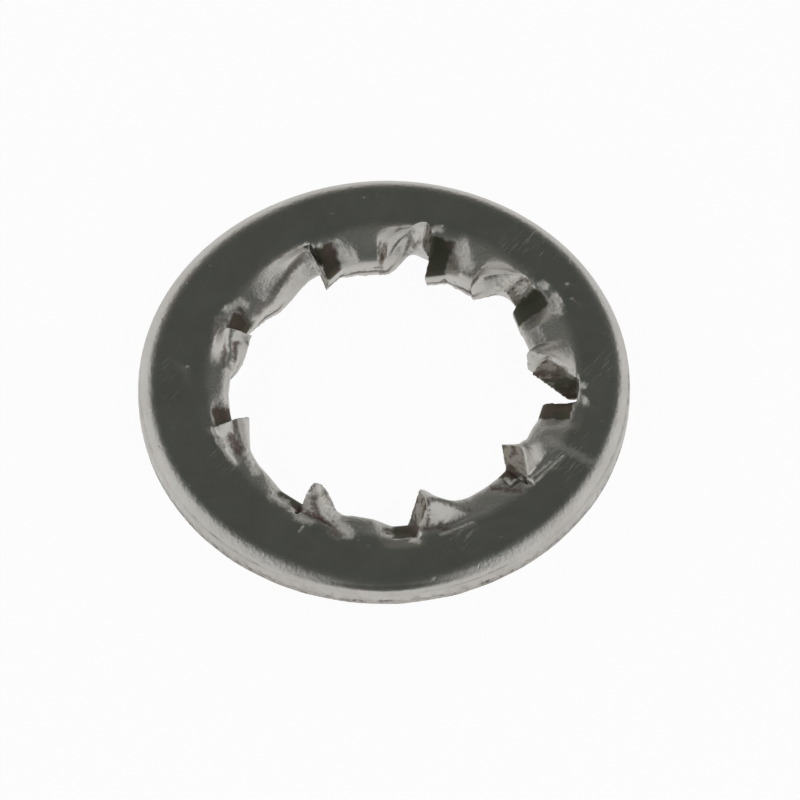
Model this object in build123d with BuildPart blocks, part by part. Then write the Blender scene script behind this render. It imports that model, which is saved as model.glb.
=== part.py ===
from build123d import *

import math
import os
from collections import namedtuple

# Internal-tooth lock washer: a flat stamped ring whose nine teeth are cut apart and bent out of
# its inner edge. Each tooth is twisted about its own radius: the corner at the cut before it
# stands up to bite the nut, and the corner at the cut after it is pressed down to bite the work.
# All sizes are in millimetres and all angles in degrees.

# The ring
OUTER_DIAMETER = 18.0
SHEET = 1.05  # thickness of the strip
ROLL_WIDTH = 0.34  # the punch draws the top outer edge over: its width across the top face
ROLL_DEPTH = 0.26  # and how far it reaches down the wall
BURR_SIDE_BREAK = 0.05  # broken edge at the foot of the wall

# The hole and the circle that the teeth are bent about. Both are struck a little off the centre
# of the rim, so the teeth are longest on the +X side.
HOLE_DIAMETER = 11.1
HOLE_CENTRE = Vector(0.0, -0.28)
FOLD_DIAMETER = 13.6
FOLD_CENTRE = Vector(0.33, 0.0)

# The teeth. Where two numbers are given, the first is for the raised corner and the second for
# the pressed one, unless the line says otherwise.
#   slit: direction of the cut before the tooth, and how many degrees the next cut takes
#   bend: how far inside the fold circle the tooth is bent
#   rise: the angle that the raised corner is folded up by, and how far it is twisted over
#   size: how long the raised corner is, and the share of the sheet's thickness left at its tip
#   wide: the share of the tooth that each corner takes
#   sink: slope of the tooth's middle down to the hole, and how fully the corner is pressed
#   chip: how far short of the hole's edge the pressed corner ends, or beyond it if less than 0
Tooth = namedtuple("Tooth", "slit bend rise size wide sink chip")
TEETH = (
    Tooth((-82.5, 1.8), (0.31, 0.43), (63, 25), (1.15, 1.0), (0.48, 0.12), (8, 0.4), 0.0),
    Tooth((-41.6, 8.7), (0.33, 0.12), (60, 25), (1.25, 1.0), (0.36, 0.22), (10, 0.8), 0.1),
    Tooth((0.4, 0.4), (0.08, 0.10), (38, 27), (1.45, 0.9), (0.34, 0.20), (14, 1.0), 0.2),
    Tooth((37.5, 0.4), (0.22, 0.20), (74, 5), (1.10, 1.0), (0.40, 0.20), (2, 1.0), -0.3),
    Tooth((76.5, 2.5), (0.05, 0.25), (76, 8), (1.20, 1.0), (0.40, 0.17), (4, 1.0), -0.3),
    Tooth((118.0, 0.6), (0.00, 0.20), (45, 10), (1.20, 1.0), (0.56, 0.18), (4, 0.9), 0.0),
    Tooth((158.4, 0.6), (0.02, 0.05), (62, 25), (1.05, 1.0), (0.36, 0.18), (20, 0.8), 0.0),
    Tooth((195.6, 1.0), (0.00, 0.22), (42, 25), (1.05, 0.9), (0.40, 0.23), (6, 0.9), 0.0),
    Tooth((238.0, 1.5), (0.29, 0.00), (76, 8), (1.15, 0.5), (0.38, 0.19), (3, 1.0), 0.0),
)
STEP_ANGLE = 36.0  # slope of the step that the die makes round a pressed corner
STEP_SHARE = 0.36  # the step's share of the tooth's length
PRESS_ANGLE = 18.0  # slope of the pressed face inside the step
STEP_RUN = 0.17  # share of a tooth that leads down to its pressed corner
MIDDLE_RUN = 0.06  # share of a tooth between its raised corner and its middle section
ANCHOR = 0.35  # how far each tooth reaches back into the ring
FOLD_MARK = 0.03  # step that the die leaves along the fold circle, on both faces
TIP_ROLL = 0.34  # the punch draws the top edge at the hole over by this much

FOLD_RADIUS = FOLD_DIAMETER / 2
DEPTH = SHEET - 2 * FOLD_MARK

# Sections across a tooth. `share` is the place across it, `bend` how far the bend lies inside the
# fold circle, `length` the length of the tooth there, `step` the share of it on the first of its
# two slopes, `first` and `second`, `tip` the share of the thickness at its tip, and `lean` the
# sideways lean of the section. A length under LEAST_LENGTH is counted from the edge of the hole.
Section = namedtuple("Section", "share bend length step first second tip lean")
LEAST_LENGTH = 0.5


def middle_section(tooth):
    """The flat middle of a tooth, which slopes gently down to the hole."""
    bend = sum(tooth.bend) / 2
    return Section(tooth.wide[0] + MIDDLE_RUN, bend, 0, 0.5, 1.0, -tooth.sink[0], 1.0, 0.0)


def raised_sections(tooth):
    """The part of a tooth that is folded up, from its cut to its flat middle."""
    rise, lean = tooth.rise
    length, tip = tooth.size
    wide = tooth.wide[0]
    bend = tooth.bend[0]
    return (
        Section(0.0, bend, length, 0.5, 1.05 * rise, 0.95 * rise, tip, lean),
        Section(0.35 * wide, bend, 0.85 * length, 0.5, 0.85 * rise, 0.75 * rise, tip, lean),
        Section(0.7 * wide, bend, 0, 0.5, 0.5 * rise, 0.3 * rise, (1 + tip) / 2, lean / 2),
        middle_section(tooth),
    )


def lowered_sections(tooth):
    """The rest of the tooth: its middle and the corner that the die presses down."""
    edge = 1 - tooth.wide[1]
    bend = tooth.bend[1]
    sag, sink = tooth.sink
    step, press = -STEP_ANGLE * sink, -PRESS_ANGLE * sink
    return (
        middle_section(tooth),
        Section(edge - STEP_RUN, bend, 0, 0.5, -2.0, -4.0 - sag, 1.0, 0.0),
        Section(edge, bend, 0, STEP_SHARE, step, press, 1.0, 0.0),
        Section(1.0, bend, -tooth.chip, STEP_SHARE, step, press, 1.0, 0.0),
    )


def hole_reach(angle):
    """Distance from the fold circle's centre to the edge of the hole, in a direction."""
    direction = Vector(1, 0).rotate(Axis.Z, angle)
    offset = FOLD_CENTRE - HOLE_CENTRE
    along = offset.dot(direction)
    return -along + math.sqrt(along**2 - offset.length**2 + (HOLE_DIAMETER / 2) ** 2)


def section_length(section, angle):
    """Length of a tooth in a section: its own, or as far as the hole less what broke off."""
    if section.length > LEAST_LENGTH:
        return section.length
    return FOLD_RADIUS - section.bend - hole_reach(angle) + section.length


def tooth_span(index):
    """Directions in which a tooth starts and ends."""
    start, cut = TEETH[index].slit
    after = TEETH[(index + 1) % len(TEETH)].slit[0]
    return start, start + (after - start) % 360 - cut


def section_outline(section, length):
    """Outline of the strip in a section: flat in the ring, bent at X = 0, cut off at its tip."""
    first = Vector(1, 0).rotate(Axis.Z, section.first)
    second = Vector(1, 0).rotate(Axis.Z, section.second)
    up = Vector(0, 1).rotate(Axis.Z, section.second)
    knee = first * section.step * length
    tip = knee + second * (1 - section.step) * length
    heel = tip - up * DEPTH * section.tip
    roll = min(TIP_ROLL, 0.8 * (1 - section.step) * length)
    under_bend = Vector(DEPTH * math.tan(math.radians(max(section.second, 0.0) / 2)), -DEPTH)
    back = -ANCHOR - section.bend
    with BuildLine() as outline:
        Line((back, 0), (0, 0))
        Line((0, 0), knee)
        Line(knee, tip - second * roll)
        Bezier(tip - second * roll, tip, tip - up * roll)
        Line(tip - up * roll, heel)
        Line(heel, under_bend)
        Line(under_bend, (back, -DEPTH))
        Line((back, -DEPTH), (back, 0))
    return outline


def pressed_depth():
    """How far the lowest pressed corner reaches below the ring's underside."""
    deepest = 0.0
    for index, tooth in enumerate(TEETH):
        start, end = tooth_span(index)
        for section in lowered_sections(tooth)[-2:]:
            length = section_length(section, start + (end - start) * section.share)
            outline = section_outline(section, length)
            deepest = max(deepest, -outline.line.bounding_box().min.Y)
    return deepest + FOLD_MARK - SHEET


STAND = pressed_depth()  # the pressed corners stand on Z = 0 and hold the ring clear of it
RING_TOP = STAND + SHEET


def section_plane(angle, section):
    """Upright radial plane at a tooth's bend, X towards the hole, leaning by the twist."""
    inward = Vector(-1, 0, 0).rotate(Axis.Z, angle)
    across = Vector(0, 1, 0).rotate(Axis.Z, angle)
    lean = math.radians(section.lean)
    centre = Vector(FOLD_CENTRE.X, FOLD_CENTRE.Y, RING_TOP - FOLD_MARK)
    return Plane(
        origin=centre - inward * (FOLD_RADIUS - section.bend),
        x_dir=inward,
        z_dir=across * math.cos(lean) - Vector(0, 0, math.sin(lean)),
    )


def tooth_part(index, sections, ruled):
    """A loft across some of a tooth's sections: smooth where it is bent, ruled where pressed."""
    start, end = tooth_span(index)
    with BuildPart() as body:
        for section in sections:
            angle = start + (end - start) * section.share
            with BuildSketch(section_plane(angle, section)):
                add(section_outline(section, section_length(section, angle)).line)
                make_face()
        loft(ruled=ruled)
    return body


def ring_blank():
    """The ring, with its top outer edge drawn over and the foot of its wall broken."""
    radius = OUTER_DIAMETER / 2
    with BuildPart() as blank:
        with BuildSketch(Plane.XZ):
            with BuildLine():
                Polyline(
                    (0, RING_TOP),
                    (0, STAND),
                    (radius - BURR_SIDE_BREAK, STAND),
                    (radius, STAND + BURR_SIDE_BREAK),
                    (radius, RING_TOP - ROLL_DEPTH),
                )
                Bezier(
                    (radius, RING_TOP - ROLL_DEPTH),
                    (radius - 0.25 * ROLL_WIDTH, RING_TOP),
                    (radius - ROLL_WIDTH, RING_TOP),
                )
                Line((radius - ROLL_WIDTH, RING_TOP), (0, RING_TOP))
            make_face()
        revolve(axis=Axis.Z)
        with Locations((FOLD_CENTRE.X, FOLD_CENTRE.Y, RING_TOP)):
            Hole(radius=FOLD_RADIUS)
    return blank


with BuildPart() as lock_washer:
    add(ring_blank().part)
    for index, tooth in enumerate(TEETH):
        add(tooth_part(index, raised_sections(tooth), False).part)
        add(tooth_part(index, lowered_sections(tooth), True).part)

lock_washer.part.label = "lock_washer"
os.makedirs("parts", exist_ok=True)
export_step(lock_washer.part, "parts/lock_washer.step")
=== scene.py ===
"""Internal-tooth lock washer: a stamped, tumbled stainless ring on a pale table in a light tent."""

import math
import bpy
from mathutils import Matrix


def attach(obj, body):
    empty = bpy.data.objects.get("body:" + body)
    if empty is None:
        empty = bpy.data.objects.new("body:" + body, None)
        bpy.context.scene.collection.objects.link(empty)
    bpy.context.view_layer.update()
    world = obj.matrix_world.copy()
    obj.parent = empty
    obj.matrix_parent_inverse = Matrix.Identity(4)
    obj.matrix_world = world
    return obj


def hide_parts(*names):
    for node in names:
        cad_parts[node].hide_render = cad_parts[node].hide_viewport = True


bl_info = {
    "name": "Toothed lock washer",
    "version": (1, 0, 0),
    "blender": (4, 5, 0),
    "location": "View3D > Sidebar > Lock Washer",
    "description": "Models the worn surface of a stamped lock washer and sets the table it lies on",
    "category": "Object",
}

from collections import namedtuple

import bpy
import numpy as np
from bpy.props import FloatProperty, IntProperty, PointerProperty, StringProperty
from mathutils import Matrix, Vector, noise

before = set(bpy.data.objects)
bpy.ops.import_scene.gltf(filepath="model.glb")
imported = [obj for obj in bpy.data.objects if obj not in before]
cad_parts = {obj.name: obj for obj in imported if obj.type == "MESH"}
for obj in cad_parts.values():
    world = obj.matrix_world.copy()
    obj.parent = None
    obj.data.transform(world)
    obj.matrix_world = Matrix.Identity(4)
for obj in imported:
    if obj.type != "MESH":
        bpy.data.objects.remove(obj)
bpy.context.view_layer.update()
MM = 0.001

# The part's own sizes, in millimetres and degrees
SHEET = 1.05
STAND = 0.620  # height of the ring's underside above the table
RING_TOP = STAND + SHEET
OUTER_RADIUS = 9.0
FOLD_RADIUS = 6.8
FOLD_CENTRE = (0.33, 0.0)
FOLD_MARK = 0.03  # step that the die leaves along the fold circle, on both faces
HOLE_RADIUS = 5.55
HOLE_CENTRE = (0.0, -0.28)
STEP_SLOPE = 36.0  # slope of the step that the die makes round a pressed corner
STEP_SHARE = 0.36  # the step's share of the tooth's length
STEP_RUN = 0.17  # share of a tooth that leads down to its pressed corner
PRESS_SLOPE = 18.0  # slope of the pressed face inside the step
MIDDLE_RUN = 0.06  # share of a tooth between its raised corner and its middle section
LEAST_LENGTH = 0.5  # a tooth's length under this is counted from the edge of the hole

# The teeth, one after the other anticlockwise.
#   slit, gap: direction of the cut before the tooth, and how many degrees the next cut takes
#   bends: how far inside the fold circle the raised and the pressed corner are bent
#   rise, length: the raised corner's angle and length
#   raised, pressed: the share of the tooth that each corner takes
#   sag, sink: slope of the tooth's middle, and how fully the pressed corner is pressed
#   chip: how far short of the hole's edge the pressed corner ends, or beyond it if less than 0
#   halo: how strongly the ring is drawn down round the pressed corner
#   crease: how deep the crease at the raised corner's foot is
Tooth = namedtuple("Tooth", "slit gap bends rise length raised pressed sag sink chip halo crease")
TEETH = (
    Tooth(-82.5, 1.8, (0.31, 0.43), 63, 1.15, 0.48, 0.12, 8, 0.4, 0.0, 0.2, 1.0),
    Tooth(-41.6, 8.7, (0.33, 0.12), 60, 1.25, 0.36, 0.22, 10, 0.8, 0.1, 0.6, 0.5),
    Tooth(0.4, 0.4, (0.08, 0.10), 38, 1.45, 0.34, 0.20, 14, 1.0, 0.2, 1.0, 0.3),
    Tooth(37.5, 0.4, (0.22, 0.20), 74, 1.10, 0.40, 0.20, 2, 1.0, -0.3, 1.0, 0.0),
    Tooth(76.5, 2.5, (0.05, 0.25), 76, 1.20, 0.40, 0.17, 4, 1.0, -0.3, 0.6, 0.0),
    Tooth(118.0, 0.6, (0.00, 0.20), 45, 1.20, 0.56, 0.18, 4, 0.9, 0.0, 1.0, 0.0),
    Tooth(158.4, 0.6, (0.02, 0.05), 62, 1.05, 0.36, 0.18, 20, 0.8, 0.0, 0.5, 0.2),
    Tooth(195.6, 1.0, (0.00, 0.22), 42, 1.05, 0.40, 0.23, 6, 0.9, 0.0, 0.25, 0.8),
    Tooth(238.0, 1.5, (0.29, 0.00), 76, 1.15, 0.38, 0.19, 3, 1.0, 0.0, 0.6, 1.0),
)


def linear(code):
    """A colour written as sRGB hex, as the linear values that Blender's sockets hold."""
    channels = [int(code[i : i + 2], 16) / 255 for i in (1, 3, 5)]
    values = [c / 12.92 if c <= 0.04045 else ((c + 0.055) / 1.055) ** 2.4 for c in channels]
    return (*values, 1.0)


def add_node(tree, kind, settings=None, inputs=None, links=None):
    """Adds a node, sets its settings and socket values, and links other outputs into it."""
    node = tree.nodes.new(kind)
    for name, value in (settings or {}).items():
        setattr(node, name, value)
    for name, value in (inputs or {}).items():
        node.inputs[name].default_value = value
    for name, output in (links or {}).items():
        tree.links.new(output, node.inputs[name])
    return node


def new_material(name):
    """An empty node material with its output node."""
    material = bpy.data.materials.new(name)
    material.use_nodes = True
    material.node_tree.nodes.clear()
    return material, material.node_tree, add_node(material.node_tree, "ShaderNodeOutputMaterial")


class WasherLook(bpy.types.PropertyGroup):
    """Sizes and colours of the washer's worn surface"""

    grain: FloatProperty(
        name="Mesh grain",
        description="Cell size that the stamped form is rebuilt with before it is worn",
        default=0.05 * MM,
        min=0.03 * MM,
        subtype="DISTANCE",
        unit="LENGTH",
    )
    tumbling: IntProperty(
        name="Tumbling",
        description="How many smoothing passes round the edges, as the barrel does",
        default=2,
        min=0,
    )
    tear: FloatProperty(
        name="Tear depth",
        description="How rough the torn faces of the cuts and of the hole are",
        default=0.03 * MM,
        subtype="DISTANCE",
        unit="LENGTH",
    )
    steel: StringProperty(
        name="Steel",
        description="Colour of the tumbled stainless steel, as an sRGB hex code",
        default="#cbc9c5",
    )
    # the film colour also paints the shade of the hollows, creases, seam line and pressed corners
    film_and_shade: StringProperty(
        name="Brown film",
        description="Colour of the film left where the die pressed, as an sRGB hex code",
        default="#5d5047",
    )
    torn: StringProperty(
        name="Torn steel",
        description="Colour of the broken faces, as an sRGB hex code",
        default="#a09b92",
    )


class StudioLook(bpy.types.PropertyGroup):
    """The light tent, the table and the camera"""

    table: StringProperty(
        name="Table",
        description="Colour of the table, as an sRGB hex code",
        default="#f4f4f2",
    )
    wall: StringProperty(
        name="Tent walls",
        description="Colour of the lit side walls of the tent, as an sRGB hex code",
        default="#fdfdfd",
    )
    slit: StringProperty(
        name="Tent opening",
        description="Colour of the dark opening overhead, as an sRGB hex code",
        default="#555956",
    )
    elevation: FloatProperty(
        name="Camera elevation",
        description="Angle that the camera looks down by",
        default=math.radians(56.96),
        subtype="ANGLE",
        unit="ROTATION",
    )
    roll: FloatProperty(
        name="Camera roll",
        description="Turn of the camera about its own axis",
        default=math.radians(1.03),
        subtype="ANGLE",
        unit="ROTATION",
    )
    distance: FloatProperty(
        name="Camera distance",
        description="From the camera to the washer",
        default=1.0,
        subtype="DISTANCE",
        unit="LENGTH",
    )


# Patches of parallel scratches on the ring's top: place and reach, in millimetres
SCRATCHED = (
    (-0.2, 7.6, 1.0),
    (5.5, 5.7, 1.5),
    (7.9, 0.5, 1.1),
    (6.6, -3.2, 1.6),
    (2.8, -7.0, 1.2),
    (-5.6, -3.2, 0.9),
    (-7.7, 1.5, 0.7),
)

# Marks of stamping and of handling, with painted light and shade: what each is, its half width, its
# strength, and the points that it runs through, in millimetres. A film mark is stained brown and
# partly painted shade and dark reflection, a rub is scuffed bright and partly a painted highlight,
# and a rust mark has a faint reddish bloom that is partly painted shade along the creases
MARKS = (
    ("film_and_shade", 0.14, 0.8, ((1.70, -5.63, 2.40), (2.36, -5.56, 1.99), (3.08, -5.73, 1.69))),
    ("film_and_shade", 0.22, 0.5, ((2.80, -5.52, 1.78), (3.52, -5.64, 1.67))),
    ("film_and_shade", 0.08, 0.9, ((1.55, -5.76, 2.47), (1.50, -6.40, 1.64))),
    ("film_and_shade", 0.18, 0.9, ((0.95, -6.32, 1.40), (2.52, -6.53, 1.67))),
    ("film_and_shade", 0.08, 0.7, ((2.52, -6.53, 1.67), (3.22, -6.28, 1.67))),
    ("film_and_shade", 0.20, 0.9, ((0.04, -6.39, 1.48), (0.22, -6.39, 1.40))),
    ("rub_and_glint", 0.12, 0.9, ((0.94, -6.86, 1.56), (1.09, -6.92, 1.58))),
    ("rub_and_glint", 0.05, 0.6, ((1.97, -6.73, 1.67), (3.15, -6.20, 1.67))),
    ("film_and_shade", 0.18, 0.9, ((-2.61, -5.49, 2.38), (-2.54, -5.74, 1.83))),
    ("rust_and_shade", 0.13, 1.0, ((-3.31, -5.42, 1.49), (-2.47, -5.86, 1.67), (-1.72, -6.48, 1.67))),
    ("rust_and_shade", 0.20, 0.8, ((-1.94, -6.52, 1.67), (-1.75, -6.65, 1.67))),
    ("rub_and_glint", 0.16, 0.6, ((-3.24, -5.86, 1.64), (-2.73, -6.07, 1.68))),
    ("rub_and_glint", 0.10, 0.9, ((-3.53, -5.52, 1.59), (-3.39, -5.49, 1.54))),
    ("rub_and_glint", 0.04, 0.8, ((-3.21, -6.49, 1.67), (-3.03, -6.24, 1.67))),
    ("rub_and_glint", 0.24, 0.8, ((-2.25, -5.61, 2.15), (-1.82, -5.95, 1.73), (-1.39, -6.58, 1.67))),
    ("rub_and_glint", 0.12, 0.5, ((-2.06, -5.21, 2.07), (-1.33, -5.47, 1.67))),
    ("film_and_shade", 0.22, 0.9, ((-6.08, -0.95, 1.49), (-5.64, -1.05, 1.28))),
    ("rust_and_shade", 0.22, 0.9, ((-5.58, -2.50, 1.91), (-5.29, -3.08, 1.78))),
    ("film_and_shade", 0.08, 0.8, ((-5.49, -1.93, 2.17), (-5.43, -2.63, 1.91))),
    ("rub_and_glint", 0.07, 0.9,
     ((-6.27, -1.88, 1.57), (-6.13, -2.46, 1.66), (-5.80, -2.99, 1.65), (-5.48, -3.48, 1.67))),
    ("rub_and_glint", 0.20, 0.8, ((-4.96, -3.14, 1.73), (-4.72, -3.80, 1.66))),
    ("film_and_shade", 0.18, 0.9, ((-5.22, 3.36, 1.56), (-4.86, 2.79, 1.29))),
    ("film_and_shade", 0.16, 0.9, ((-5.38, 1.50, 2.00), (-5.43, 1.05, 1.82))),
    ("film_and_shade", 0.12, 0.8, ((-5.75, 1.40, 2.03), (-5.87, 0.81, 1.74))),
    ("film_and_shade", 0.12, 0.7, ((-6.03, 2.88, 1.65), (-5.56, 2.80, 1.50))),
    ("rub_and_glint", 0.05, 0.9, ((-5.74, 1.89, 2.28), (-5.75, 1.44, 2.04), (-5.50, 0.79, 1.61))),
    ("rub_and_glint", 0.14, 0.7, ((-5.66, 3.30, 1.61), (-5.21, 3.65, 1.66), (-5.00, 3.46, 1.61))),
    ("film_and_shade", 0.16, 0.7, ((-2.87, 5.26, 2.28), (-3.32, 4.65, 2.09), (-4.03, 3.85, 1.86))),
    ("film_and_shade", 0.18, 0.8, ((-2.47, 5.88, 1.25), (-2.29, 5.50, 1.16))),
    ("rub_and_glint", 0.10, 0.8, ((-2.47, 4.88, 2.04), (-2.22, 5.34, 1.14))),
    ("rub_and_glint", 0.10, 0.8, ((-2.28, 6.04, 1.54), (-2.24, 6.05, 1.53))),
    ("rub_and_glint", 0.10, 0.8, ((-1.73, 6.21, 1.54), (-1.62, 6.20, 1.55))),
    ("rub_and_glint", 0.24, 0.9, ((3.01, 5.72, 1.59), (3.15, 4.98, 1.64))),
    ("rub_and_glint", 0.14, 0.9, ((2.04, 6.65, 1.62), (2.15, 6.64, 1.62))),
    ("rub_and_glint", 0.32, 0.5, ((0.78, 6.14, 2.22), (1.52, 6.03, 2.63))),
    ("film_and_shade", 0.09, 0.8, ((0.56, 6.37, 1.95), (0.71, 6.61, 1.78))),
    ("rub_and_glint", 0.38, 1.0, ((4.53, 3.91, 2.22), (5.15, 3.74, 1.99))),
    ("film_and_shade", 0.11, 0.9, ((4.53, 3.79, 2.20), (4.64, 3.51, 2.35))),
    ("rub_and_glint", 0.14, 0.9, ((5.82, 4.12, 1.58), (5.93, 4.03, 1.59))),
    ("rub_and_glint", 0.18, 0.7, ((6.29, 3.61, 1.61), (6.46, 2.86, 1.67))),
    ("film_and_shade", 0.28, 0.4, ((5.27, 2.52, 1.30), (5.63, 1.72, 1.58))),
    ("rub_and_glint", 0.05, 0.9, ((7.07, 0.10, 1.66), (6.71, 0.39, 1.90), (6.27, 0.41, 2.22))),
    ("film_and_shade", 0.28, 0.3, ((5.95, 1.43, 1.74), (6.68, 1.04, 1.77))),
    ("rub_and_glint", 0.12, 0.9, ((7.20, -0.34, 1.66), (7.31, -0.35, 1.67))),
    ("rub_and_glint", 0.14, 0.9, ((7.30, -0.95, 1.64), (7.37, -1.09, 1.66))),
    ("rust_and_shade", 0.16, 0.9, ((3.90, -4.75, 1.63), (4.93, -4.87, 1.65))),
    ("rub_and_glint", 0.04, 0.8, ((5.41, -4.58, 1.66), (6.49, -3.39, 1.67))),
    ("rub_and_glint", 0.04, 0.7, ((5.30, -4.34, 1.63), (6.05, -3.65, 1.67))),
    ("rub_and_glint", 0.20, 0.2, ((5.99, -2.64, 1.67), (7.51, -3.70, 1.64))),
    ("rub_and_glint", 0.04, 0.8, ((6.74, 4.13, 1.67), (6.81, 4.13, 1.67))),
    ("rub_and_glint", 0.04, 0.8, ((6.91, 3.47, 1.67), (6.98, 3.51, 1.67))),
    ("rub_and_glint", 0.04, 0.8, ((1.68, -8.56, 1.56), (1.76, -8.53, 1.57))),
    ("rub_and_glint", 0.04, 0.6, ((-7.19, 0.79, 1.67), (-7.15, 0.79, 1.67))),
    ("rust_and_shade", 0.20, 0.8, ((5.79, 0.16, 1.88), (6.19, 0.09, 1.76))),
    ("film_and_shade", 0.28, 0.7, ((6.48, 0.10, 1.74), (6.77, -0.15, 1.31))),
    ("film_and_shade", 0.24, 0.5, ((5.24, -0.17, 1.67), (5.93, -0.05, 1.39))),
    ("film_and_shade", 0.20, 0.5, ((5.76, 1.02, 1.97), (6.69, 1.39, 1.71))),
    ("film_and_shade", 0.32, 0.3, ((-5.24, -2.04, 2.06), (-5.03, -2.61, 1.72))),
    ("rub_and_glint", 0.20, 0.5, ((-4.15, -4.93, 1.56), (-3.71, -5.17, 1.53))),
    ("rub_and_glint", 0.08, 0.8, ((4.39, -4.27, 1.55), (4.53, -4.49, 1.55), (4.94, -4.20, 1.43))),
    ("film_and_shade", 0.16, 0.6, ((-4.11, 3.59, 1.71), (-4.56, 3.22, 1.49))),
    ("film_and_shade", 0.12, 0.6, ((1.07, 5.82, 2.31), (1.21, 5.50, 2.24))),
)

# Depths to which the press and the barrel have worked the surface, in millimetres
PRESSED_DEPTH = 0.02  # the die, into a pressed corner
DRAWN_DEPTH = 0.11  # the ring, drawn down round a pressed corner
CREASE_DEPTH = 0.05  # the crease at a raised corner's foot
RUB_DEPTH = 0.03
RUB_LUMPS = 0.035
RUST_DEPTH = 0.02
FILM_DEPTH = 0.01
EDGE_GRAIN = 0.007  # fine unevenness of the rolled edge and of the teeth
BAND_DEPTH = 0.03  # the broken band at the foot of the rim's wall stands back by this
SEAM_DEPTH = 0.03  # the line between the rolled edge and the wall
BURR = 0.09  # the burr that hangs from the foot of the wall

# Sizes along the surface, in millimetres
DRAWN_REACH = 0.6  # how far round a pressed corner the ring is drawn down
CREASE_WIDTH = 0.11
BORDER_WANDER = 0.08  # how far the border between the ring and the teeth wanders
ROLL_START = 8.15  # where the punch starts to draw the top of the rim over
ROLL_END = 8.8
ROLL_NARROWING = 0.35  # how much later the roll starts at the back right
ROLL_DROP = 0.26  # the roll's depth for each millimetre of its width

# Shares of the rim's wall, from its foot
BAND_TOP = 0.20
BAND_WANDER = 0.07
SEAM_LEVEL = 0.52  # at the front
SEAM_RISE = 0.2  # how much higher it is at the two sides
SEAM_WIDTH = 0.03

MERGE_GAP = 0.0005  # vertices of the solid's loose faces that are nearer than this are one
BEND_PASSES = 50  # smoothing that rounds the bends and the rolled edge
HOLLOW_PASSES = 14  # smoothing that the hollows are measured against
HOLLOW_DEPTH = (0.002, 0.02)  # below the smoothed surface, from no hollow to a full one
RIM_TORN, BAND_TORN = 0.12, 0.33  # how torn the rim's wall looks, and how much more its band
TRIANGLES = 190000  # left in the finished piece

# Ranges over which one part of the surface passes into the next. The first are distances from
# the middle of the rim, and the next a distance from a bend, in millimetres
ROUNDED_FROM, ROUNDED_TO = (8.3, 8.55), (8.9, 8.98)  # the rolled edge, where it is smoothed
GRAINED_FROM, GRAINED_TO = (8.25, 8.5), (8.85, 8.95)  # and where it is uneven
DULLED_FROM = (8.30, 8.75)  # and duller than the top
WALL_FROM = (8.7, 8.85)
BURR_FROM = (8.72, 8.95)
BEND_REACH = (0.35, 0.80)
LEVEL = (0.3, 0.6)  # the upward share of a normal, from a slope to a level face
MARK_FADE = (0.1, 1.5)  # half widths from the middle of a mark
MARK_REACH = 2.5  # half widths at which its ragged edge has ended everywhere
MARK_RAGGED = 0.6

# ---- the washer's mesh, in millimetres ----


def eased(value, low, high):
    """A smooth step from 0 at low to 1 at high."""
    share = np.clip((value - low) / (high - low), 0.0, 1.0)
    return share * share * (3 - 2 * share)


def tooth_spans():
    """Each tooth, with the degrees up to the next tooth's cut and up to its own end."""
    for tooth, after in zip(TEETH, (*TEETH[1:], TEETH[0])):
        whole = (after.slit - tooth.slit) % 360
        yield tooth, whole, whole - tooth.gap


def hole_reach(angle):
    """Distance from the middle of the fold circle to the edge of the hole, in a direction."""
    x = FOLD_CENTRE[0] - HOLE_CENTRE[0]
    y = FOLD_CENTRE[1] - HOLE_CENTRE[1]
    along = x * math.cos(math.radians(angle)) + y * math.sin(math.radians(angle))
    return -along + math.sqrt(along**2 - x**2 - y**2 + HOLE_RADIUS**2)


def tip_table():
    """Direction, slope, place of the tip's top corner, and bend, at each section of each tooth."""
    rows = []
    for tooth, _, span in tooth_spans():
        start, end = tooth.bends
        rise, raised, edge = tooth.rise, tooth.raised, 1 - tooth.pressed
        step, press = -STEP_SLOPE * tooth.sink, -PRESS_SLOPE * tooth.sink
        # share across the tooth, bend, length, the first slope's share of it, and both slopes
        sections = (
            (0.0, start, tooth.length, 0.5, rise, rise),
            (0.35 * raised, start, 0.85 * tooth.length, 0.5, 0.85 * rise, 0.75 * rise),
            (0.7 * raised, start, 0, 0.5, 0.5 * rise, 0.3 * rise),
            (raised + MIDDLE_RUN, (start + end) / 2, 0, 0.5, 1, -tooth.sag),
            (edge - STEP_RUN, end, 0, 0.5, -2, -4 - tooth.sag),
            (edge, end, 0, STEP_SHARE, step, press),
            (1.0, end, -tooth.chip, STEP_SHARE, step, press),
        )
        for share, bend, length, knee, first, second in sections:
            angle = tooth.slit + span * share
            if length < LEAST_LENGTH:
                length += FOLD_RADIUS - bend - hole_reach(angle)
            one, two = math.radians(first), math.radians(second)
            inward = bend + length * (knee * math.cos(one) + (1 - knee) * math.cos(two))
            up = length * (knee * math.sin(one) + (1 - knee) * math.sin(two))
            rows.append((angle, second, inward, up, bend))
    rows.sort()
    return np.array(rows)


def tips_at(angle):
    """Slope, place of the tip's top corner, and bend, of the tooth in each direction."""
    angles, *columns = tip_table().T
    return [np.interp(angle, angles, column, period=360) for column in columns]


def relaxed(mesh, places, passes):
    """The vertices' places after some passes of plain smoothing."""
    ends = np.empty(len(mesh.edges) * 2, dtype=np.int32)
    mesh.edges.foreach_get("vertices", ends)
    one, other = ends.reshape(-1, 2).T
    count = len(places)
    links = np.maximum(np.bincount(one, minlength=count) + np.bincount(other, minlength=count), 1)
    for _ in range(passes):
        drawn = np.empty_like(places)
        for k in range(3):
            drawn[:, k] = np.bincount(one, places[other, k], count)
            drawn[:, k] += np.bincount(other, places[one, k], count)
        places = 0.5 * places + 0.5 * drawn / links[:, None]
    return places


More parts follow.
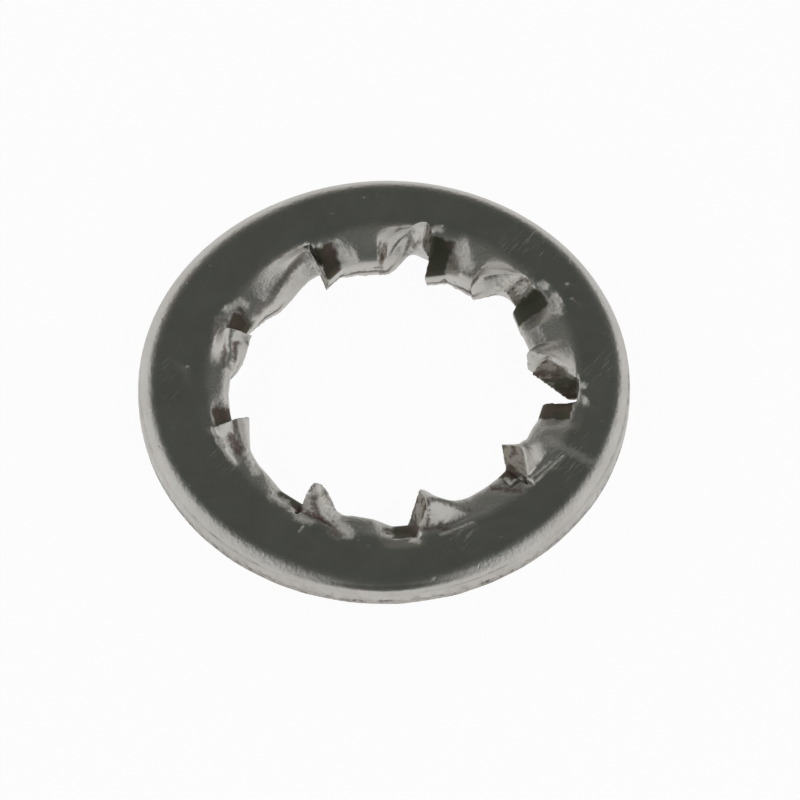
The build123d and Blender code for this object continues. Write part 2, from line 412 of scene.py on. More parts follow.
def mesh_arrays(mesh):
    """The mesh's vertex places and normals, as arrays."""
    count = len(mesh.vertices)
    places = np.empty(count * 3, dtype=np.float32)
    normals = np.empty(count * 3, dtype=np.float32)
    mesh.vertices.foreach_get("co", places)
    mesh.vertex_normals.foreach_get("vector", normals)
    return places.reshape(-1, 3).astype(float), normals.reshape(-1, 3).astype(float)


def move_vertices(mesh, places):
    """Puts the mesh's vertices in new places."""
    mesh.vertices.foreach_set("co", places.astype(np.float32).ravel())
    mesh.update()


def store_masks(mesh, name, masks):
    """Stores four masks as a colour attribute, which the material reads."""
    layer = mesh.color_attributes.new(name, "FLOAT_COLOR", "POINT")
    layer.data.foreach_set("color", np.stack(masks, 1).ravel())


def polar(places):
    """Direction in degrees and distance of each vertex from the middle of the fold circle."""
    x = places[:, 0] - FOLD_CENTRE[0]
    y = places[:, 1] - FOLD_CENTRE[1]
    return np.degrees(np.arctan2(y, x)), np.hypot(x, y)


def axis_distance(places):
    """Distance of each vertex from the middle of the rim."""
    return np.hypot(places[:, 0], places[:, 1])


def wall_share(places):
    """How high each vertex is on the rim's wall: 0 at the ring's underside and 1 at its top."""
    return (places[:, 2] - STAND) / SHEET


def lumps(places, size, seed):
    """Smooth noise at each vertex, with lumps of about this size."""
    shift = Vector((seed * 17.3, seed * -5.9, seed * 11.7))
    return np.array([noise.noise(Vector(place) / size + shift) for place in places])


def surface_masks(places, normals):
    """How far each vertex is on a pressed corner, a torn cut, the hole's wall, and down that."""
    angle, radius = polar(places)
    ragged = lumps(places, size=0.22, seed=1)
    slope, tip_in, tip_up, bend = tips_at(angle)
    inward = FOLD_RADIUS - radius
    height = places[:, 2] - RING_TOP
    on_tooth = eased(inward - bend + BORDER_WANDER * ragged, -0.05, 0.05)

    share = np.zeros(len(places))
    pressed_from = np.ones(len(places))
    raised_to = np.zeros(len(places))
    for tooth, whole, span in tooth_spans():
        turn = (angle - tooth.slit) % 360
        mine = turn < whole
        share[mine] = turn[mine] / span
        pressed_from[mine] = 1 - tooth.pressed
        raised_to[mine] = tooth.raised
    edge = pressed_from - 0.03 * ragged
    pressed = on_tooth * eased(share, edge - 0.02, edge + 0.02)
    pressed *= eased(normals[:, 2], 0.2, 0.5)

    turned = np.radians(angle)
    across = normals[:, 0] * -np.sin(turned) + normals[:, 1] * np.cos(turned)
    outward = normals[:, 0] * np.cos(turned) + normals[:, 1] * np.sin(turned)
    torn = on_tooth * eased(np.abs(across), 0.55, 0.8)
    tilt = np.radians(slope)
    facing = -outward * np.cos(tilt) + normals[:, 2] * np.sin(tilt)
    along = (inward - tip_in) * np.cos(tilt) + (height - tip_up) * np.sin(tilt)
    down = (inward - tip_in) * np.sin(tilt) - (height - tip_up) * np.cos(tilt)
    wall = on_tooth * eased(facing, 0.45, 0.75) * eased(along, -0.5, -0.3)
    wall *= eased(share, raised_to - 0.15, raised_to)
    return pressed, torn, wall, np.clip(down / SHEET, 0, 1)


def tooth_places(places):
    """Each tooth and its span, with each vertex's share across it and distance from the middle."""
    angle, radius = polar(places)
    for tooth, _, span in tooth_spans():
        turn = (angle - tooth.slit + 180 - span / 2) % 360 - 180 + span / 2
        yield tooth, span, turn / span, radius


def draw_down(places):
    """How strongly each vertex is drawn down round the outer edge of a pressed corner."""
    drawn = np.zeros(len(places))
    for tooth, span, share, radius in tooth_places(places):
        aside = np.maximum(1 - tooth.pressed - share, share - 1) * math.radians(span) * radius
        gap = np.hypot(radius - (FOLD_RADIUS - tooth.bends[1]), np.maximum(aside, 0))
        drawn = np.maximum(drawn, tooth.halo * (1 - eased(gap, 0.0, DRAWN_REACH)))
    return drawn


def foot_crease(places, normals):
    """How strongly each vertex is in the crease at the foot of a raised corner."""
    creased = np.zeros(len(places))
    for tooth, _, share, radius in tooth_places(places):
        foot = radius - (FOLD_RADIUS - tooth.bends[0])
        along = eased(share, -0.03, 0.02)
        along *= 1 - eased(share, 0.6 * tooth.raised, 1.1 * tooth.raised)
        across = np.exp(-((foot / CREASE_WIDTH) ** 2))
        creased = np.maximum(creased, tooth.crease * along * across)
    return creased * eased(normals[:, 2], *LEVEL)


def marked(places, kind):
    """How strongly each vertex has a kind of mark, with broken edges."""
    ragged = lumps(places, size=0.13, seed=8) + lumps(places, size=0.06, seed=9)
    found = np.zeros(len(places))
    for mark, width, strength, points in MARKS:
        if mark != kind:
            continue
        for start, end in zip(points[:-1], points[1:]):
            start, run = np.array(start), np.subtract(end, start)
            share = np.clip((places - start) @ run / max(run @ run, 1e-6), 0, 1)
            gap = np.linalg.norm(places - start - share[:, None] * run, axis=1) / width
            near = gap < MARK_REACH
            full = 1 - eased(gap[near] + MARK_RAGGED * ragged[near], *MARK_FADE)
            found[near] = np.maximum(found[near], strength * full)
    return found


def scratched_patches(places):
    """How strongly each vertex is in a patch of scratches."""
    scratched = np.zeros(len(places))
    for x, y, reach in SCRATCHED:
        gap = np.hypot(places[:, 0] - x, places[:, 1] - y)
        scratched = np.maximum(scratched, 1 - eased(gap, 0.3 * reach, reach))
    return scratched


def rim_break(places, normals):
    """Where the rim's wall is, and how far it is in the broken band at the wall's foot."""
    rim = eased(axis_distance(places), *WALL_FROM)
    rim *= eased(1 - np.abs(normals[:, 2]), 0.2, 0.6)
    top = BAND_TOP + BAND_WANDER * lumps(places, size=0.45, seed=4)
    return rim, 1 - eased(wall_share(places), top, top + 0.03)


def battered(places):
    """How battered the rim is at each vertex: least at the front, between its two sides."""
    return np.maximum(eased(np.abs(places[:, 0]), 0.5, 4.5), eased(places[:, 1], -2.0, 2.0))


def rim_seam(places):
    """How far each vertex is in the fine line between the rolled edge and the rim's wall."""
    level = wall_share(places) - 0.02 * lumps(places, size=0.5, seed=5)
    seat = SEAM_LEVEL + SEAM_RISE * np.abs(places[:, 0]) / OUTER_RADIUS
    broken = 0.35 + 0.65 * eased(lumps(places, size=0.3, seed=6), -0.4, 0.2)
    broken = broken * (0.2 + 0.8 * battered(places))
    broken *= eased(lumps(places, size=3.0, seed=14), -0.35, 0.15)
    return np.exp(-(((level - seat) / SEAM_WIDTH) ** 2)) * broken


class WASHER_OT_washer(bpy.types.Operator):
    """Models the washer's worn surface over its stamped form"""

    bl_idname = "lock_washer.washer"
    bl_label = "Model the washer"

    def execute(self, context):
        look = context.scene.washer_look
        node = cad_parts["lock_washer"]
        bpy.ops.object.select_all(action="DESELECT")
        piece = bpy.data.objects.new("stamped_washer", node.data.copy())
        context.collection.objects.link(piece)
        context.view_layer.objects.active = piece
        piece.select_set(True)
        piece.data.materials.clear()
        piece.data.transform(Matrix.Scale(1 / MM, 4))
        self.rebuild(piece, look)
        self.soften(piece)
        self.roughen(piece.data, look)
        self.thin_out(piece)
        self.paint(piece.data)
        piece.data.transform(Matrix.Scale(MM, 4))
        bpy.ops.object.shade_smooth()
        piece.data.materials.append(tumbled_stainless(look))
        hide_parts("lock_washer")
        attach(piece, "root")
        return {"FINISHED"}

    def rebuild(self, piece, look):
        """Merges the solid's loose faces and rebuilds it in even cells, with its edges tumbled."""
        bpy.ops.object.mode_set(mode="EDIT")
        bpy.ops.mesh.select_all(action="SELECT")
        bpy.ops.mesh.remove_doubles(threshold=MERGE_GAP)
        bpy.ops.object.mode_set(mode="OBJECT")
        cells = piece.modifiers.new("cells", "REMESH")
        cells.mode = "VOXEL"
        cells.voxel_size = look.grain / MM
        bpy.ops.object.modifier_apply(modifier=cells.name)
        tumble = piece.modifiers.new("tumble", "SMOOTH")
        tumble.factor = 0.5
        tumble.iterations = look.tumbling
        bpy.ops.object.modifier_apply(modifier=tumble.name)

    def soften(self, piece):
        """Closes the fold circle's step, draws the rim's edge over, and rounds it and the bends."""
        places, normals = mesh_arrays(piece.data)
        angle, radius = polar(places)
        reach = axis_distance(places)
        upright = normals[:, 2]
        inside = eased(FOLD_RADIUS - radius, -0.06, 0.06)
        places[:, 2] += FOLD_MARK * inside * np.sign(upright) * eased(np.abs(upright), 0.2, 0.6)
        # the roll is narrowest where X + Y is largest, at the back right
        start = ROLL_START + ROLL_NARROWING * eased(places[:, 0] + places[:, 1], 3.0, 11.0)
        roll = np.clip((reach - start) / (ROLL_END - start), 0, 1)
        drop = ROLL_DROP * (ROLL_END - start)
        places[:, 2] -= drop * roll**3 * eased(places[:, 2], RING_TOP - 0.6, RING_TOP - 0.2)
        move_vertices(piece.data, places)

        slope, _, _, bend = tips_at(angle)
        near = 1 - eased(np.abs(radius - (FOLD_RADIUS - bend)), *BEND_REACH)
        weight = near * eased(upright, *LEVEL) * (1 - 0.7 * eased(slope, 5, 30))
        edge = eased(reach, *ROUNDED_FROM) * (1 - eased(reach, *ROUNDED_TO))
        edge *= eased(upright, 0.1, 0.4)
        weight = np.maximum(weight, 0.6 * battered(places) * edge)
        group = piece.vertex_groups.new(name="bends")
        for index in np.nonzero(weight > 0.02)[0]:
            group.add([int(index)], float(weight[index]), "REPLACE")
        bends = piece.modifiers.new("bends", "SMOOTH")
        bends.factor = 0.5
        bends.iterations = BEND_PASSES
        bends.vertex_group = group.name
        bpy.ops.object.modifier_apply(modifier=bends.name)

    def roughen(self, mesh, look):
        """Presses the low corners, dents what is marked, and tears the cuts and the rim's foot."""
        places, normals = mesh_arrays(mesh)
        pressed, torn, wall, down = surface_masks(places, normals)
        up = eased(normals[:, 2], 0.0, 0.4)
        creased = foot_crease(places, normals)
        places[:, 2] -= (
            PRESSED_DEPTH * pressed + DRAWN_DEPTH * draw_down(places) * up + CREASE_DEPTH * creased
        )

        fine = lumps(places, size=0.12, seed=11)
        places += normals * (marked(places, "rub_and_glint") * (RUB_LUMPS * fine - RUB_DEPTH))[:, None]
        places -= normals * (RUST_DEPTH * marked(places, "rust_and_shade") * (1 + fine))[:, None]
        places -= normals * (FILM_DEPTH * marked(places, "film_and_shade") * (1 + fine))[:, None]
        reach = axis_distance(places)
        grained = battered(places) * eased(reach, *GRAINED_FROM)
        grained *= 1 - eased(reach, *GRAINED_TO)
        grained = np.maximum(grained, 0.5 * eased(FOLD_RADIUS - polar(places)[1], -0.1, 0.3))
        grain = EDGE_GRAIN * grained * up * (1 - pressed) * lumps(places, size=0.1, seed=15)
        places += normals * grain[:, None]

        broken = np.clip(torn + wall * eased(down, 0.3, 0.45), 0, 1)
        rim, low = rim_break(places, normals)
        outward = places * np.array((1, 1, 0)) / axis_distance(places)[:, None]
        places -= outward * (rim * (BAND_DEPTH * low + SEAM_DEPTH * rim_seam(places)))[:, None]
        foot = eased(axis_distance(places), *BURR_FROM)
        foot *= 1 - eased(wall_share(places), 0.1, 0.35)
        places[:, 2] -= BURR * foot * (1 + 0.4 * lumps(places, size=0.8, seed=13))
        broken = np.maximum(broken, rim * low)
        tears = lumps(places, size=0.25, seed=2) + 0.5 * lumps(places, size=0.1, seed=3)
        places += normals * (broken * tears * look.tear / MM)[:, None]
        move_vertices(mesh, places)

    def thin_out(self, piece):
        """Takes out the faces that the flat places don't need."""
        thin = piece.modifiers.new("thin", "DECIMATE")
        thin.ratio = min(1.0, TRIANGLES / (2 * len(piece.data.polygons)))
        bpy.ops.object.modifier_apply(modifier=thin.name)

    def paint(self, mesh):
        """Stores the surface masks where the material can read them."""
        places, normals = mesh_arrays(mesh)
        pressed, torn, wall, down = surface_masks(places, normals)
        rim, low = rim_break(places, normals)
        torn = np.maximum(torn, rim * (RIM_TORN + BAND_TORN * low))
        store_masks(mesh, "wear", (pressed, torn, wall, down))

        # hollows and the crease at each raised corner's foot, where the material paints shade
        depth = np.sum((relaxed(mesh, places, HOLLOW_PASSES) - places) * normals, 1)
        hollow = np.maximum(eased(depth, *HOLLOW_DEPTH), foot_crease(places, normals))
        worked = eased(polar(places)[1], FOLD_RADIUS + 0.25, FOLD_RADIUS - 0.25)
        edge = 0.9 * battered(places) * eased(axis_distance(places), *DULLED_FROM)
        worked = np.maximum(worked, edge)
        # the seam line on the rim, where the material paints a thin line of shade
        seam_shade = rim * rim_seam(places)
        store_masks(mesh, "relief", (hollow, worked, scratched_patches(places), seam_shade))

        # film, rub and rust marks: partly real stains and scuffs, partly painted shade, dark
        # reflections and highlights
        film_and_shade, rub_and_glint, rust_and_shade = (marked(places, kind) for kind in ("film_and_shade", "rub_and_glint", "rust_and_shade"))
        store_masks(mesh, "marks", (film_and_shade, rub_and_glint, rust_and_shade, np.ones(len(places))))


# ---- materials ----

# Sockets of the Mix node, whose names repeat
FACTOR, FIRST_VALUE, SECOND_VALUE, FIRST_COLOUR, SECOND_COLOUR = 0, 2, 3, 6, 7
MIXED_COLOUR = 2

# Colours that a user has no need to change, as sRGB hex codes
DULL_STEEL = "#b3b0aa"
# pale steel of the rubbed spots, partly a painted highlight
RUBBED_GLINT_STEEL = "#e6e3dc"
TORN_PITS = "#63584e"
WALL_LINE = "#76706a"
GREEN_FILM = "#4a4b3c"
# reddish bloom of the rust marks, partly painted shade along the creases
RUST_BLOOM_AND_SHADE = "#604c48"


def tumbled_stainless(look):
    """Stainless strip, stamped and barrel-tumbled: a soft mirror, dulled where it was worked, with
    painted shade in its hollows, creases, seam line and pressed corners, and painted highlights on
    its rubbed spots.
    """
    material, tree, output = new_material("tumbled_stainless_steel")
    wear = add_node(tree, "ShaderNodeAttribute", {"attribute_name": "wear"})
    worn = add_node(tree, "ShaderNodeSeparateColor", links={"Color": wear.outputs["Color"]})
    pressed, torn, wall = (worn.outputs[name] for name in ("Red", "Green", "Blue"))
    relief = add_node(tree, "ShaderNodeAttribute", {"attribute_name": "relief"})
    form = add_node(tree, "ShaderNodeSeparateColor", links={"Color": relief.outputs["Color"]})
    hollow, worked, scratched = (form.outputs[name] for name in ("Red", "Green", "Blue"))
    marks = add_node(tree, "ShaderNodeAttribute", {"attribute_name": "marks"})
    mark = add_node(tree, "ShaderNodeSeparateColor", links={"Color": marks.outputs["Color"]})
    filmed_and_shaded, rubbed_and_glint, rusted_and_shaded = (mark.outputs[name] for name in ("Red", "Green", "Blue"))
    place = add_node(tree, "ShaderNodeTexCoord")
    mm = add_node(tree, "ShaderNodeVectorMath", {"operation": "SCALE"}, {"Scale": 1 / MM},
                  {0: place.outputs["Object"]})
    # the cloudy tone that tumbling leaves is about 1.5 mm across, patches of dirt and of pits
    # 0.3 mm, and the grain of the worked steel 0.1 mm
    cloud = add_node(tree, "ShaderNodeTexNoise", {}, {"Scale": 0.7, "Detail": 3.0},
                     {"Vector": mm.outputs[0]})
    patch = add_node(tree, "ShaderNodeTexNoise", {}, {"Scale": 3.0, "Detail": 3.0},
                     {"Vector": mm.outputs[0]})
    grain = add_node(tree, "ShaderNodeTexNoise", {}, {"Scale": 9.0, "Detail": 3.0},
                     {"Vector": mm.outputs[0]})

    # scratches: noise 0.05 mm wide, drawn out to 0.9 mm and cut to its thin crests. Real ones are
    # finer, and these are as coarse as they need to be to show
    turned = add_node(tree, "ShaderNodeMapping", {"vector_type": "TEXTURE"},
                      {"Rotation": (0, 0, math.radians(50)), "Scale": (0.9, 0.05, 1.0)},
                      {"Vector": mm.outputs[0]})
    lines = add_node(tree, "ShaderNodeTexNoise", {}, {"Scale": 1.0, "Detail": 2.0},
                     {"Vector": turned.outputs[0]})
    line = add_node(tree, "ShaderNodeMapRange", {}, {"From Min": 0.61, "From Max": 0.80},
                    {"Value": lines.outputs["Fac"]})
    scratch = add_node(tree, "ShaderNodeMath", {"operation": "MULTIPLY"}, {},
                       {0: line.outputs[0], 1: scratched})

    # brown film, partly painted shade: on the pressed corners, where it partly stands for their
    # shade, and on the film and rust marks;
    # as painted shade in patches of the hollows and creases, and thinly in the seam line on the
    # rim. The rubbed spots, partly painted highlights, have lost it
    patchy = add_node(tree, "ShaderNodeMapRange", {}, {"From Min": 0.40, "From Max": 0.62},
                      {"Value": patch.outputs["Fac"]})
    # painted shade in patches of the hollows and creases
    hollow_shade = add_node(tree, "ShaderNodeMath", {"operation": "MULTIPLY"}, {},
                    {0: patchy.outputs[0], 1: hollow})
    # painted shade along the seam line on the rim, at 0.45, added to that of the hollows
    seam_and_hollow_shade = add_node(tree, "ShaderNodeMath", {"operation": "MULTIPLY_ADD"}, {1: 0.45},
                       {0: relief.outputs["Alpha"], 2: hollow_shade.outputs[0]})
    # the pressed corners: brown film that is partly painted shade
    pressed_and_shaded = add_node(tree, "ShaderNodeMath", {"operation": "MAXIMUM"}, {},
                      {0: seam_and_hollow_shade.outputs[0], 1: pressed})
    # film and rust marks: stains that are partly painted shade and dark reflection
    stained_and_shaded = add_node(tree, "ShaderNodeMath", {"operation": "MAXIMUM"}, {},
                       {0: filmed_and_shaded, 1: rusted_and_shaded})
    covered = add_node(tree, "ShaderNodeMath", {"operation": "MAXIMUM"}, {},
                       {0: pressed_and_shaded.outputs[0], 1: stained_and_shaded.outputs[0]})
    film_and_shade = add_node(tree, "ShaderNodeMath", {"operation": "SUBTRACT", "use_clamp": True}, {},
                    {0: covered.outputs[0], 1: rubbed_and_glint})
    # the hole's wall: burnished by the punch, then a dark line, then the break
    down = add_node(tree, "ShaderNodeMath", {"operation": "MULTIPLY_ADD"}, {1: 0.16},
                    {0: patch.outputs["Fac"], 2: wear.outputs["Alpha"]})
    line_top = add_node(tree, "ShaderNodeMapRange", {"interpolation_type": "SMOOTHSTEP"},
                        {"From Min": 0.66, "From Max": 0.70}, {"Value": down.outputs[0]})
    line_foot = add_node(tree, "ShaderNodeMapRange", {"interpolation_type": "SMOOTHSTEP"},
                         {"From Min": 0.90, "From Max": 0.80}, {"Value": down.outputs[0]})
    band = add_node(tree, "ShaderNodeMath", {"operation": "MULTIPLY"}, {},
                    {0: line_top.outputs[0], 1: line_foot.outputs[0]})
    wall_line = add_node(tree, "ShaderNodeMath", {"operation": "MULTIPLY"}, {},
                         {0: band.outputs[0], 1: wall})

    steel = add_node(tree, "ShaderNodeMix", {"data_type": "RGBA"},
                     {FIRST_COLOUR: linear(look.steel), SECOND_COLOUR: linear(DULL_STEEL)},
                     {FACTOR: cloud.outputs["Fac"]})
    pitted = add_node(tree, "ShaderNodeMapRange", {}, {"From Min": 0.48, "From Max": 0.6},
                      {"Value": patch.outputs["Fac"]})
    grit = add_node(tree, "ShaderNodeMix", {"data_type": "RGBA"},
                    {FIRST_COLOUR: linear(look.torn), SECOND_COLOUR: linear(TORN_PITS)},
                    {FACTOR: pitted.outputs[0]})
    broken = add_node(tree, "ShaderNodeMix", {"data_type": "RGBA"}, {},
                      {FACTOR: torn, FIRST_COLOUR: steel.outputs[MIXED_COLOUR],
                       SECOND_COLOUR: grit.outputs[MIXED_COLOUR]})
    lined = add_node(tree, "ShaderNodeMix", {"data_type": "RGBA"},
                     {SECOND_COLOUR: linear(WALL_LINE)},
                     {FACTOR: wall_line.outputs[0], FIRST_COLOUR: broken.outputs[MIXED_COLOUR]})
    # the film turns from brown to green with its thickness, and the rust marks at the torn feet of
    # the teeth have a faint reddish bloom, which is partly painted shade along the creases
    thickness = add_node(tree, "ShaderNodeMapRange", {}, {"From Min": 0.44, "From Max": 0.56},
                         {"Value": cloud.outputs["Fac"]})
    tint = add_node(tree, "ShaderNodeMix", {"data_type": "RGBA"},
                    {FIRST_COLOUR: linear(look.film_and_shade), SECOND_COLOUR: linear(GREEN_FILM)},
                    {FACTOR: thickness.outputs[0]})
    # rust marks: a reddish bloom, partly painted shade along the creases
    rust_and_shade_tint = add_node(tree, "ShaderNodeMix", {"data_type": "RGBA"}, {SECOND_COLOUR: linear(RUST_BLOOM_AND_SHADE)},
                     {FACTOR: rusted_and_shaded, FIRST_COLOUR: tint.outputs[MIXED_COLOUR]})
    # steel colour under the film colour and its painted shade
    colour_with_film_and_shade = add_node(tree, "ShaderNodeMix", {"data_type": "RGBA"}, {},
                             {FACTOR: film_and_shade.outputs[0], FIRST_COLOUR: lined.outputs[MIXED_COLOUR],
                              SECOND_COLOUR: rust_and_shade_tint.outputs[MIXED_COLOUR]})
    # rubbed spots in pale steel: partly scuffing, partly painted highlights
    colour = add_node(tree, "ShaderNodeMix", {"data_type": "RGBA"},
                      {SECOND_COLOUR: linear(RUBBED_GLINT_STEEL)},
                      {FACTOR: rubbed_and_glint, FIRST_COLOUR: colour_with_film_and_shade.outputs[MIXED_COLOUR]})

    # rubbed and torn steel scatters light as a paler, duller metal, and the film and its painted
    # shade hide it
    torn_share = add_node(tree, "ShaderNodeMath", {"operation": "MULTIPLY"}, {1: 0.6}, {0: torn})
    frosted = add_node(tree, "ShaderNodeMath", {"operation": "MAXIMUM"}, {},
                       {0: rubbed_and_glint, 1: torn_share.outputs[0]})
    smooth = add_node(tree, "ShaderNodeMath", {"operation": "MULTIPLY_ADD"}, {1: -0.75, 2: 1.0},
                      {0: frosted.outputs[0]})
    uncovered = add_node(tree, "ShaderNodeMapRange", {}, {"To Min": 1.0, "To Max": 0.4},
                         {"Value": film_and_shade.outputs[0]})
    bare = add_node(tree, "ShaderNodeMath", {"operation": "MULTIPLY"}, {},
                    {0: smooth.outputs[0], 1: uncovered.outputs[0]})

    # the flat top keeps the strip's soft gloss, and the bent teeth and the rolled edge are duller
    polish = add_node(tree, "ShaderNodeMapRange", {}, {"To Min": 0.2, "To Max": 0.28},
                      {"Value": patch.outputs["Fac"]})
    gloss = add_node(tree, "ShaderNodeMath", {"operation": "MULTIPLY_ADD"}, {1: 0.14},
                     {0: worked, 2: polish.outputs[0]})
    matt = add_node(tree, "ShaderNodeMath", {"operation": "MAXIMUM"}, {},
                    {0: film_and_shade.outputs[0], 1: torn})
    scuffed = add_node(tree, "ShaderNodeMath", {"operation": "MAXIMUM"}, {},
                       {0: scratch.outputs[0], 1: rubbed_and_glint})
    dull = add_node(tree, "ShaderNodeMath", {"operation": "MAXIMUM"}, {},
                    {0: matt.outputs[0], 1: scuffed.outputs[0]})
    rough = add_node(tree, "ShaderNodeMix", {"data_type": "FLOAT"}, {SECOND_VALUE: 0.55},
                     {FACTOR: dull.outputs[0], FIRST_VALUE: gloss.outputs[0]})

    # height: the grain, less the scratches and the small dents that the other washers in the
    # barrel leave, which are the crests of noise 0.25 mm across and about 0.1 mm wide
    kneaded = add_node(tree, "ShaderNodeMath", {"operation": "MULTIPLY"}, {},
                       {0: grain.outputs["Fac"], 1: worked})
    knocks = add_node(tree, "ShaderNodeTexNoise", {}, {"Scale": 4.0, "Detail": 1.0},
                      {"Vector": mm.outputs[0]})
    dent = add_node(tree, "ShaderNodeMapRange", {}, {"From Min": 0.74, "From Max": 0.82},
                    {"Value": knocks.outputs["Fac"]})
    dented = add_node(tree, "ShaderNodeMath", {"operation": "MULTIPLY_ADD"}, {1: -0.45},
                      {0: dent.outputs[0], 2: kneaded.outputs[0]})
    height = add_node(tree, "ShaderNodeMath", {"operation": "MULTIPLY_ADD"}, {1: -0.3},
                      {0: scratch.outputs[0], 2: dented.outputs[0]})
    bump = add_node(tree, "ShaderNodeBump", {}, {"Strength": 0.8, "Distance": 0.025 * MM},
                    {"Height": height.outputs[0]})
    shader = add_node(tree, "ShaderNodeBsdfPrincipled", {}, {},
                      {"Base Color": colour.outputs[MIXED_COLOUR], "Metallic": bare.outputs[0],
                       "Roughness": rough.outputs[0], "Normal": bump.outputs[0]})
    tree.links.new(shader.outputs["BSDF"], output.inputs["Surface"])
    return material


# ---- the stage ----

IMAGE = 800  # pixels along the side of the square render
SCALE = 27.32  # pixels per millimetre at the washer
AIM = (384.14, 396.65)  # pixel at which the middle of the ring's underside lies
NEAR, FAR = 0.1, 10.0  # metres from the camera between which it sees
TABLE_SIZE = 4.0  # metres
TABLE_GAP = 0.02 * MM  # the table lies just under the washer, clear of its feet
TABLE_GLOW = 0.955  # how near to white the camera and the steel see the table

# Bands of the tent, each painted over the ones before it: what it is measured by, the degrees at
# which it starts and is full, whether it is only behind the washer, and its colour. The last band
# is the side walls, in their own colour
BANDS = (
    ("rise", 52, 34, True, "#7a7771"),
    ("rise", 34, 12, True, "#e8e8e6"),
    ("rise", 13, 7, False, "#f4f4f2"),
    ("lean", 20, 42, False, None),
)


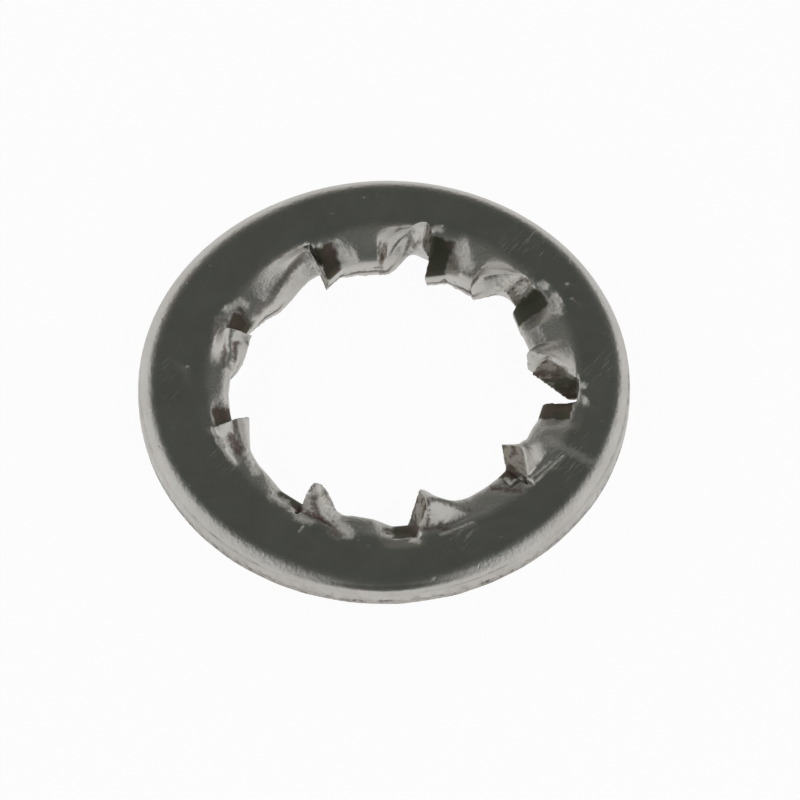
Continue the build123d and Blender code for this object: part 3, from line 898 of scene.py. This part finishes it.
class WASHER_OT_stage(bpy.types.Operator):
    """Sets the table, the light tent and the camera"""

    bl_idname = "lock_washer.stage"
    bl_label = "Set the stage"

    def execute(self, context):
        studio = context.scene.washer_studio
        self.table(context, studio)
        self.tent(context, studio)
        self.camera(context, studio)
        context.scene.view_settings.view_transform = "Standard"
        return {"FINISHED"}

    def table(self, context, studio):
        """A pale sheet, which the camera and the steel see as white, with a faint shadow on it."""
        bpy.ops.object.select_all(action="DESELECT")
        bpy.ops.mesh.primitive_plane_add(size=TABLE_SIZE, location=(0, 0, -TABLE_GAP))
        floor = context.object
        floor.name = "table"
        material, tree, output = new_material("white_table")
        diffuse = add_node(tree, "ShaderNodeBsdfDiffuse", {}, {"Color": linear(studio.table)})
        glow = add_node(tree, "ShaderNodeEmission", {}, {"Color": (1, 1, 1, 1), "Strength": 1.0})
        path = add_node(tree, "ShaderNodeLightPath")
        seen = add_node(tree, "ShaderNodeMath", {"operation": "MAXIMUM"}, {},
                        {0: path.outputs["Is Camera Ray"], 1: path.outputs["Is Glossy Ray"]})
        part = add_node(tree, "ShaderNodeMath", {"operation": "MULTIPLY"}, {1: TABLE_GLOW},
                        {0: seen.outputs[0]})
        mix = add_node(tree, "ShaderNodeMixShader", {}, {},
                       {0: part.outputs[0], 1: diffuse.outputs[0], 2: glow.outputs[0]})
        tree.links.new(mix.outputs[0], output.inputs["Surface"])
        floor.data.materials.append(material)

    def tent(self, context, studio):
        """Bright walls at the sides and a dark opening overhead, to show flat metal clearly."""
        world = bpy.data.worlds.new("light_tent")
        context.scene.world = world
        world.use_nodes = True
        tree = world.node_tree
        tree.nodes.clear()
        output = add_node(tree, "ShaderNodeOutputWorld")
        sky = add_node(tree, "ShaderNodeTexCoord")
        axes = add_node(tree, "ShaderNodeSeparateXYZ", links={0: sky.outputs["Generated"]})
        x, y, z = axes.outputs
        # the side walls lean away towards the back, so they light less of it
        aside = add_node(tree, "ShaderNodeMath", {"operation": "ABSOLUTE"}, {}, {0: x})
        back = add_node(tree, "ShaderNodeMath", {"operation": "MAXIMUM"}, {1: 0.0}, {0: y})
        sideways = add_node(tree, "ShaderNodeMath", {"operation": "MULTIPLY_ADD"}, {1: -0.25},
                            {0: back.outputs[0], 2: aside.outputs[0]})
        angles = {
            "lean": add_node(tree, "ShaderNodeMath", {"operation": "ARCTAN2"}, {},
                             {0: sideways.outputs[0], 1: z}),
            "rise": add_node(tree, "ShaderNodeMath", {"operation": "ARCSINE"}, {}, {0: z}),
        }
        behind = add_node(tree, "ShaderNodeMath", {"operation": "GREATER_THAN"}, {1: 0.0}, {0: y})
        colour = None
        for angle, start, full, only_behind, tone in BANDS:
            band = add_node(tree, "ShaderNodeMapRange", {},
                            {"From Min": math.radians(start), "From Max": math.radians(full)},
                            {"Value": angles[angle].outputs[0]})
            if only_behind:
                band = add_node(tree, "ShaderNodeMath", {"operation": "MULTIPLY"}, {},
                                {0: band.outputs[0], 1: behind.outputs[0]})
            mixed = add_node(tree, "ShaderNodeMix", {"data_type": "RGBA"},
                             {FIRST_COLOUR: linear(studio.slit),
                              SECOND_COLOUR: linear(tone or studio.wall)},
                             {FACTOR: band.outputs[0]})
            if colour is not None:
                tree.links.new(colour, mixed.inputs[FIRST_COLOUR])
            colour = mixed.outputs[MIXED_COLOUR]
        light = add_node(tree, "ShaderNodeBackground", {}, {"Strength": 1.0}, {"Color": colour})
        tree.links.new(light.outputs[0], output.inputs["Surface"])

    def camera(self, context, studio):
        """A long lens that looks down at the washer."""
        tilt = math.pi / 2 - studio.elevation
        turn = Matrix.Rotation(tilt, 3, "X") @ Matrix.Rotation(-studio.roll, 3, "Z")
        right, up, back = turn.col
        pixel = MM / SCALE
        target = Vector((0, 0, STAND * MM))
        target += right * (IMAGE / 2 - AIM[0]) * pixel - up * (IMAGE / 2 - AIM[1]) * pixel
        place = target + back * studio.distance
        bpy.ops.object.camera_add(location=place, rotation=turn.to_euler())
        camera = context.object
        camera.data.lens = SCALE * studio.distance / MM * camera.data.sensor_width / IMAGE
        camera.data.clip_start = NEAR
        camera.data.clip_end = FAR
        context.scene.camera = camera


class WASHER_PT_panel(bpy.types.Panel):
    """Lists the steps that make the washer and its stage"""

    bl_label = "Lock Washer"
    bl_idname = "WASHER_PT_panel"
    bl_space_type = "VIEW_3D"
    bl_region_type = "UI"
    bl_category = "Lock Washer"

    def draw(self, context):
        for group in (context.scene.washer_look, context.scene.washer_studio):
            for name in group.__annotations__:
                self.layout.prop(group, name)
        for operator in OPERATORS:
            self.layout.operator(operator.bl_idname)


OPERATORS = (WASHER_OT_washer, WASHER_OT_stage)
CLASSES = (WasherLook, StudioLook, *OPERATORS, WASHER_PT_panel)


def register():
    for cls in CLASSES:
        bpy.utils.register_class(cls)
    bpy.types.Scene.washer_look = PointerProperty(type=WasherLook)
    bpy.types.Scene.washer_studio = PointerProperty(type=StudioLook)


def unregister():
    del bpy.types.Scene.washer_studio
    del bpy.types.Scene.washer_look
    for cls in reversed(CLASSES):
        bpy.utils.unregister_class(cls)


def main():
    register()
    bpy.ops.lock_washer.washer()
    bpy.ops.lock_washer.stage()


if __name__ == "__main__":
    main()
